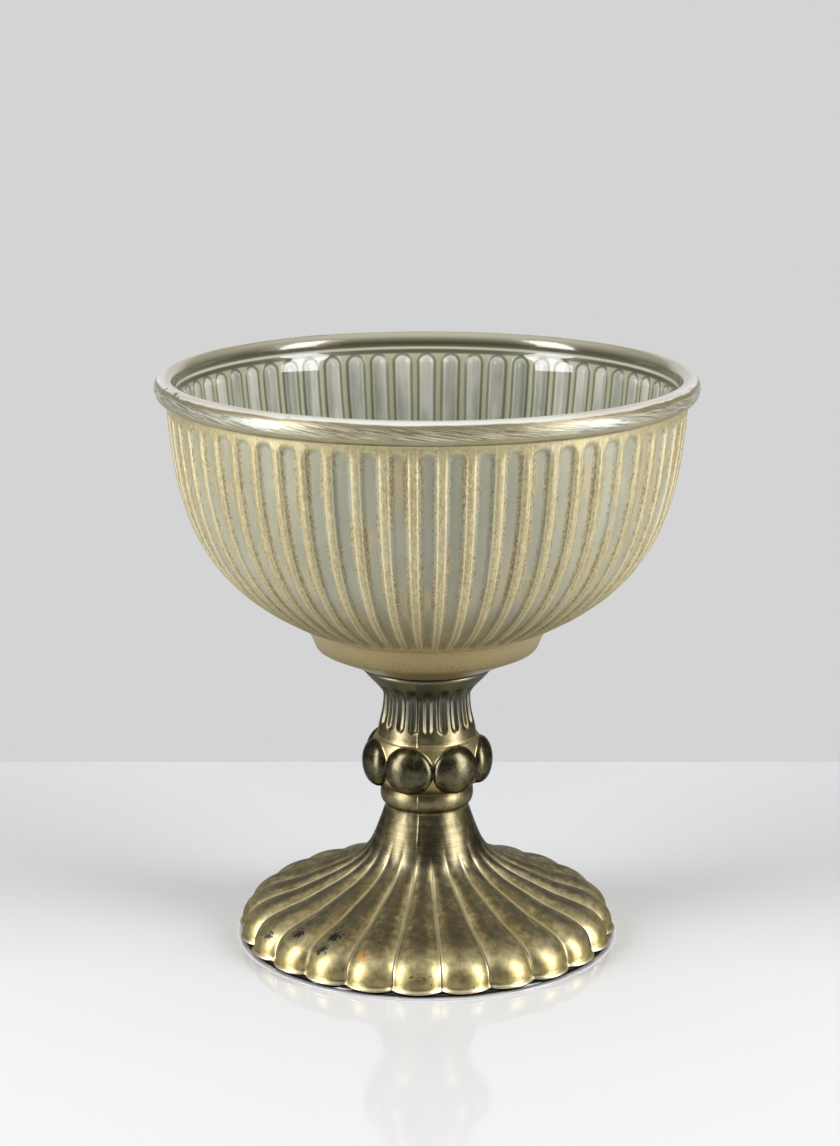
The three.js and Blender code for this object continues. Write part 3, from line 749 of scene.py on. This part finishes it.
dress(bowl_mesh(), bowl_paint(), "ribbed_glass_bowl")
dress(bond_mesh(), bond_glue(), "bowl_bond_disc")
dress(pedestal_mesh(), pedestal_paint(), "scalloped_pedestal")
dress(ring_mesh(), ring_glass(), "foot_rest_ring")

# table, light and air
TABLE_HALF, TABLE_FRONT, TABLE_EDGE, TABLE_THICK = 1.6, -1.8, 0.161, 0.03
corners = [(-TABLE_HALF, TABLE_FRONT), (TABLE_HALF, TABLE_FRONT), (TABLE_HALF, TABLE_EDGE), (-TABLE_HALF, TABLE_EDGE)]
table_mesh = bpy.data.meshes.new("table")
table_mesh.from_pydata([(x, y, z) for z in (0, -TABLE_THICK) for x, y in corners], [],
                       [(0, 1, 2, 3), (7, 6, 5, 4), (0, 4, 5, 1), (1, 5, 6, 2), (2, 6, 7, 3), (3, 7, 4, 0)])
table = bpy.data.objects.new("table", table_mesh)
table.data.materials.append(floor_gloss())
bpy.context.scene.collection.objects.link(table)


# two upright softboxes, level with each other and turned to the axis
SOFTBOX_OUT, SOFTBOX_FRONT, SOFTBOX_LEVEL, SOFTBOX_SIZE = 0.777, -0.346, 0.48, (0.32, 0.96)


def softbox(name, side, power):
    data = bpy.data.lights.new(name, "AREA")
    data.shape = "RECTANGLE"
    data.size, data.size_y = SOFTBOX_SIZE
    data.energy = power
    light = bpy.data.objects.new(name, data)
    place = Vector((side * SOFTBOX_OUT, SOFTBOX_FRONT, SOFTBOX_LEVEL))
    light.location = place
    light.rotation_euler = (Vector((0, 0, SOFTBOX_LEVEL)) - place).to_track_quat("-Z", "Y").to_euler()
    light.visible_camera = False
    bpy.context.scene.collection.objects.link(light)


softbox("softbox_left", -1, 10.6)
softbox("softbox_right", 1, 10.8)

# The room: a bright card behind, a lit ceiling, dim sides and a dark camera side.
BACK_LIGHT, TOP_LIGHT, SIDE_LIGHT, FRONT_LIGHT = 0.66, 0.60, 0.10, 0.03
world = bpy.data.worlds.new("studio")
world.use_nodes = True
bpy.context.scene.world = world
world.node_tree.nodes.clear()
room = Nodes(world.node_tree)
coords = room.node("ShaderNodeTexCoord")
split = room.node("ShaderNodeSeparateXYZ")
room.put(coords.outputs["Generated"], split.inputs[0])
forward, upward = split.outputs["Y"], split.outputs["Z"]
BEHIND = (0.78, 0.95)
level = room.span(forward, -0.62, -0.30, FRONT_LIGHT, SIDE_LIGHT)
level = room.span(forward, *BEHIND, level, BACK_LIGHT)
level = room.span(upward, 0.60, 0.90, level, TOP_LIGHT)
sky = room.node("ShaderNodeBackground")
room.put(tone("sky"), sky.inputs["Color"])
room.put(level, sky.inputs["Strength"])
card = room.node("ShaderNodeBackground")
room.put(tone("card"), card.inputs["Color"])

# Camera rays see the card all round. Glossy and transmitted rays see it where it stands, behind the compote.
path = room.node("ShaderNodeLightPath")
mirrored = room.math("ADD", path.outputs["Is Glossy Ray"], path.outputs["Is Transmission Ray"], clamp=True)
mirrored = room.math("MULTIPLY", mirrored, room.span(forward, *BEHIND), clamp=True)
seen = room.math("ADD", path.outputs["Is Camera Ray"], mirrored, clamp=True)
both = room.node("ShaderNodeMixShader")
out = room.node("ShaderNodeOutputWorld")
for given, socket in zip((seen, sky.outputs[0], card.outputs[0]), both.inputs):
    room.put(given, socket)
room.put(both.outputs[0], out.inputs[0])

bpy.context.scene.view_settings.view_transform = "Standard"

bpy.context.view_layer.update()
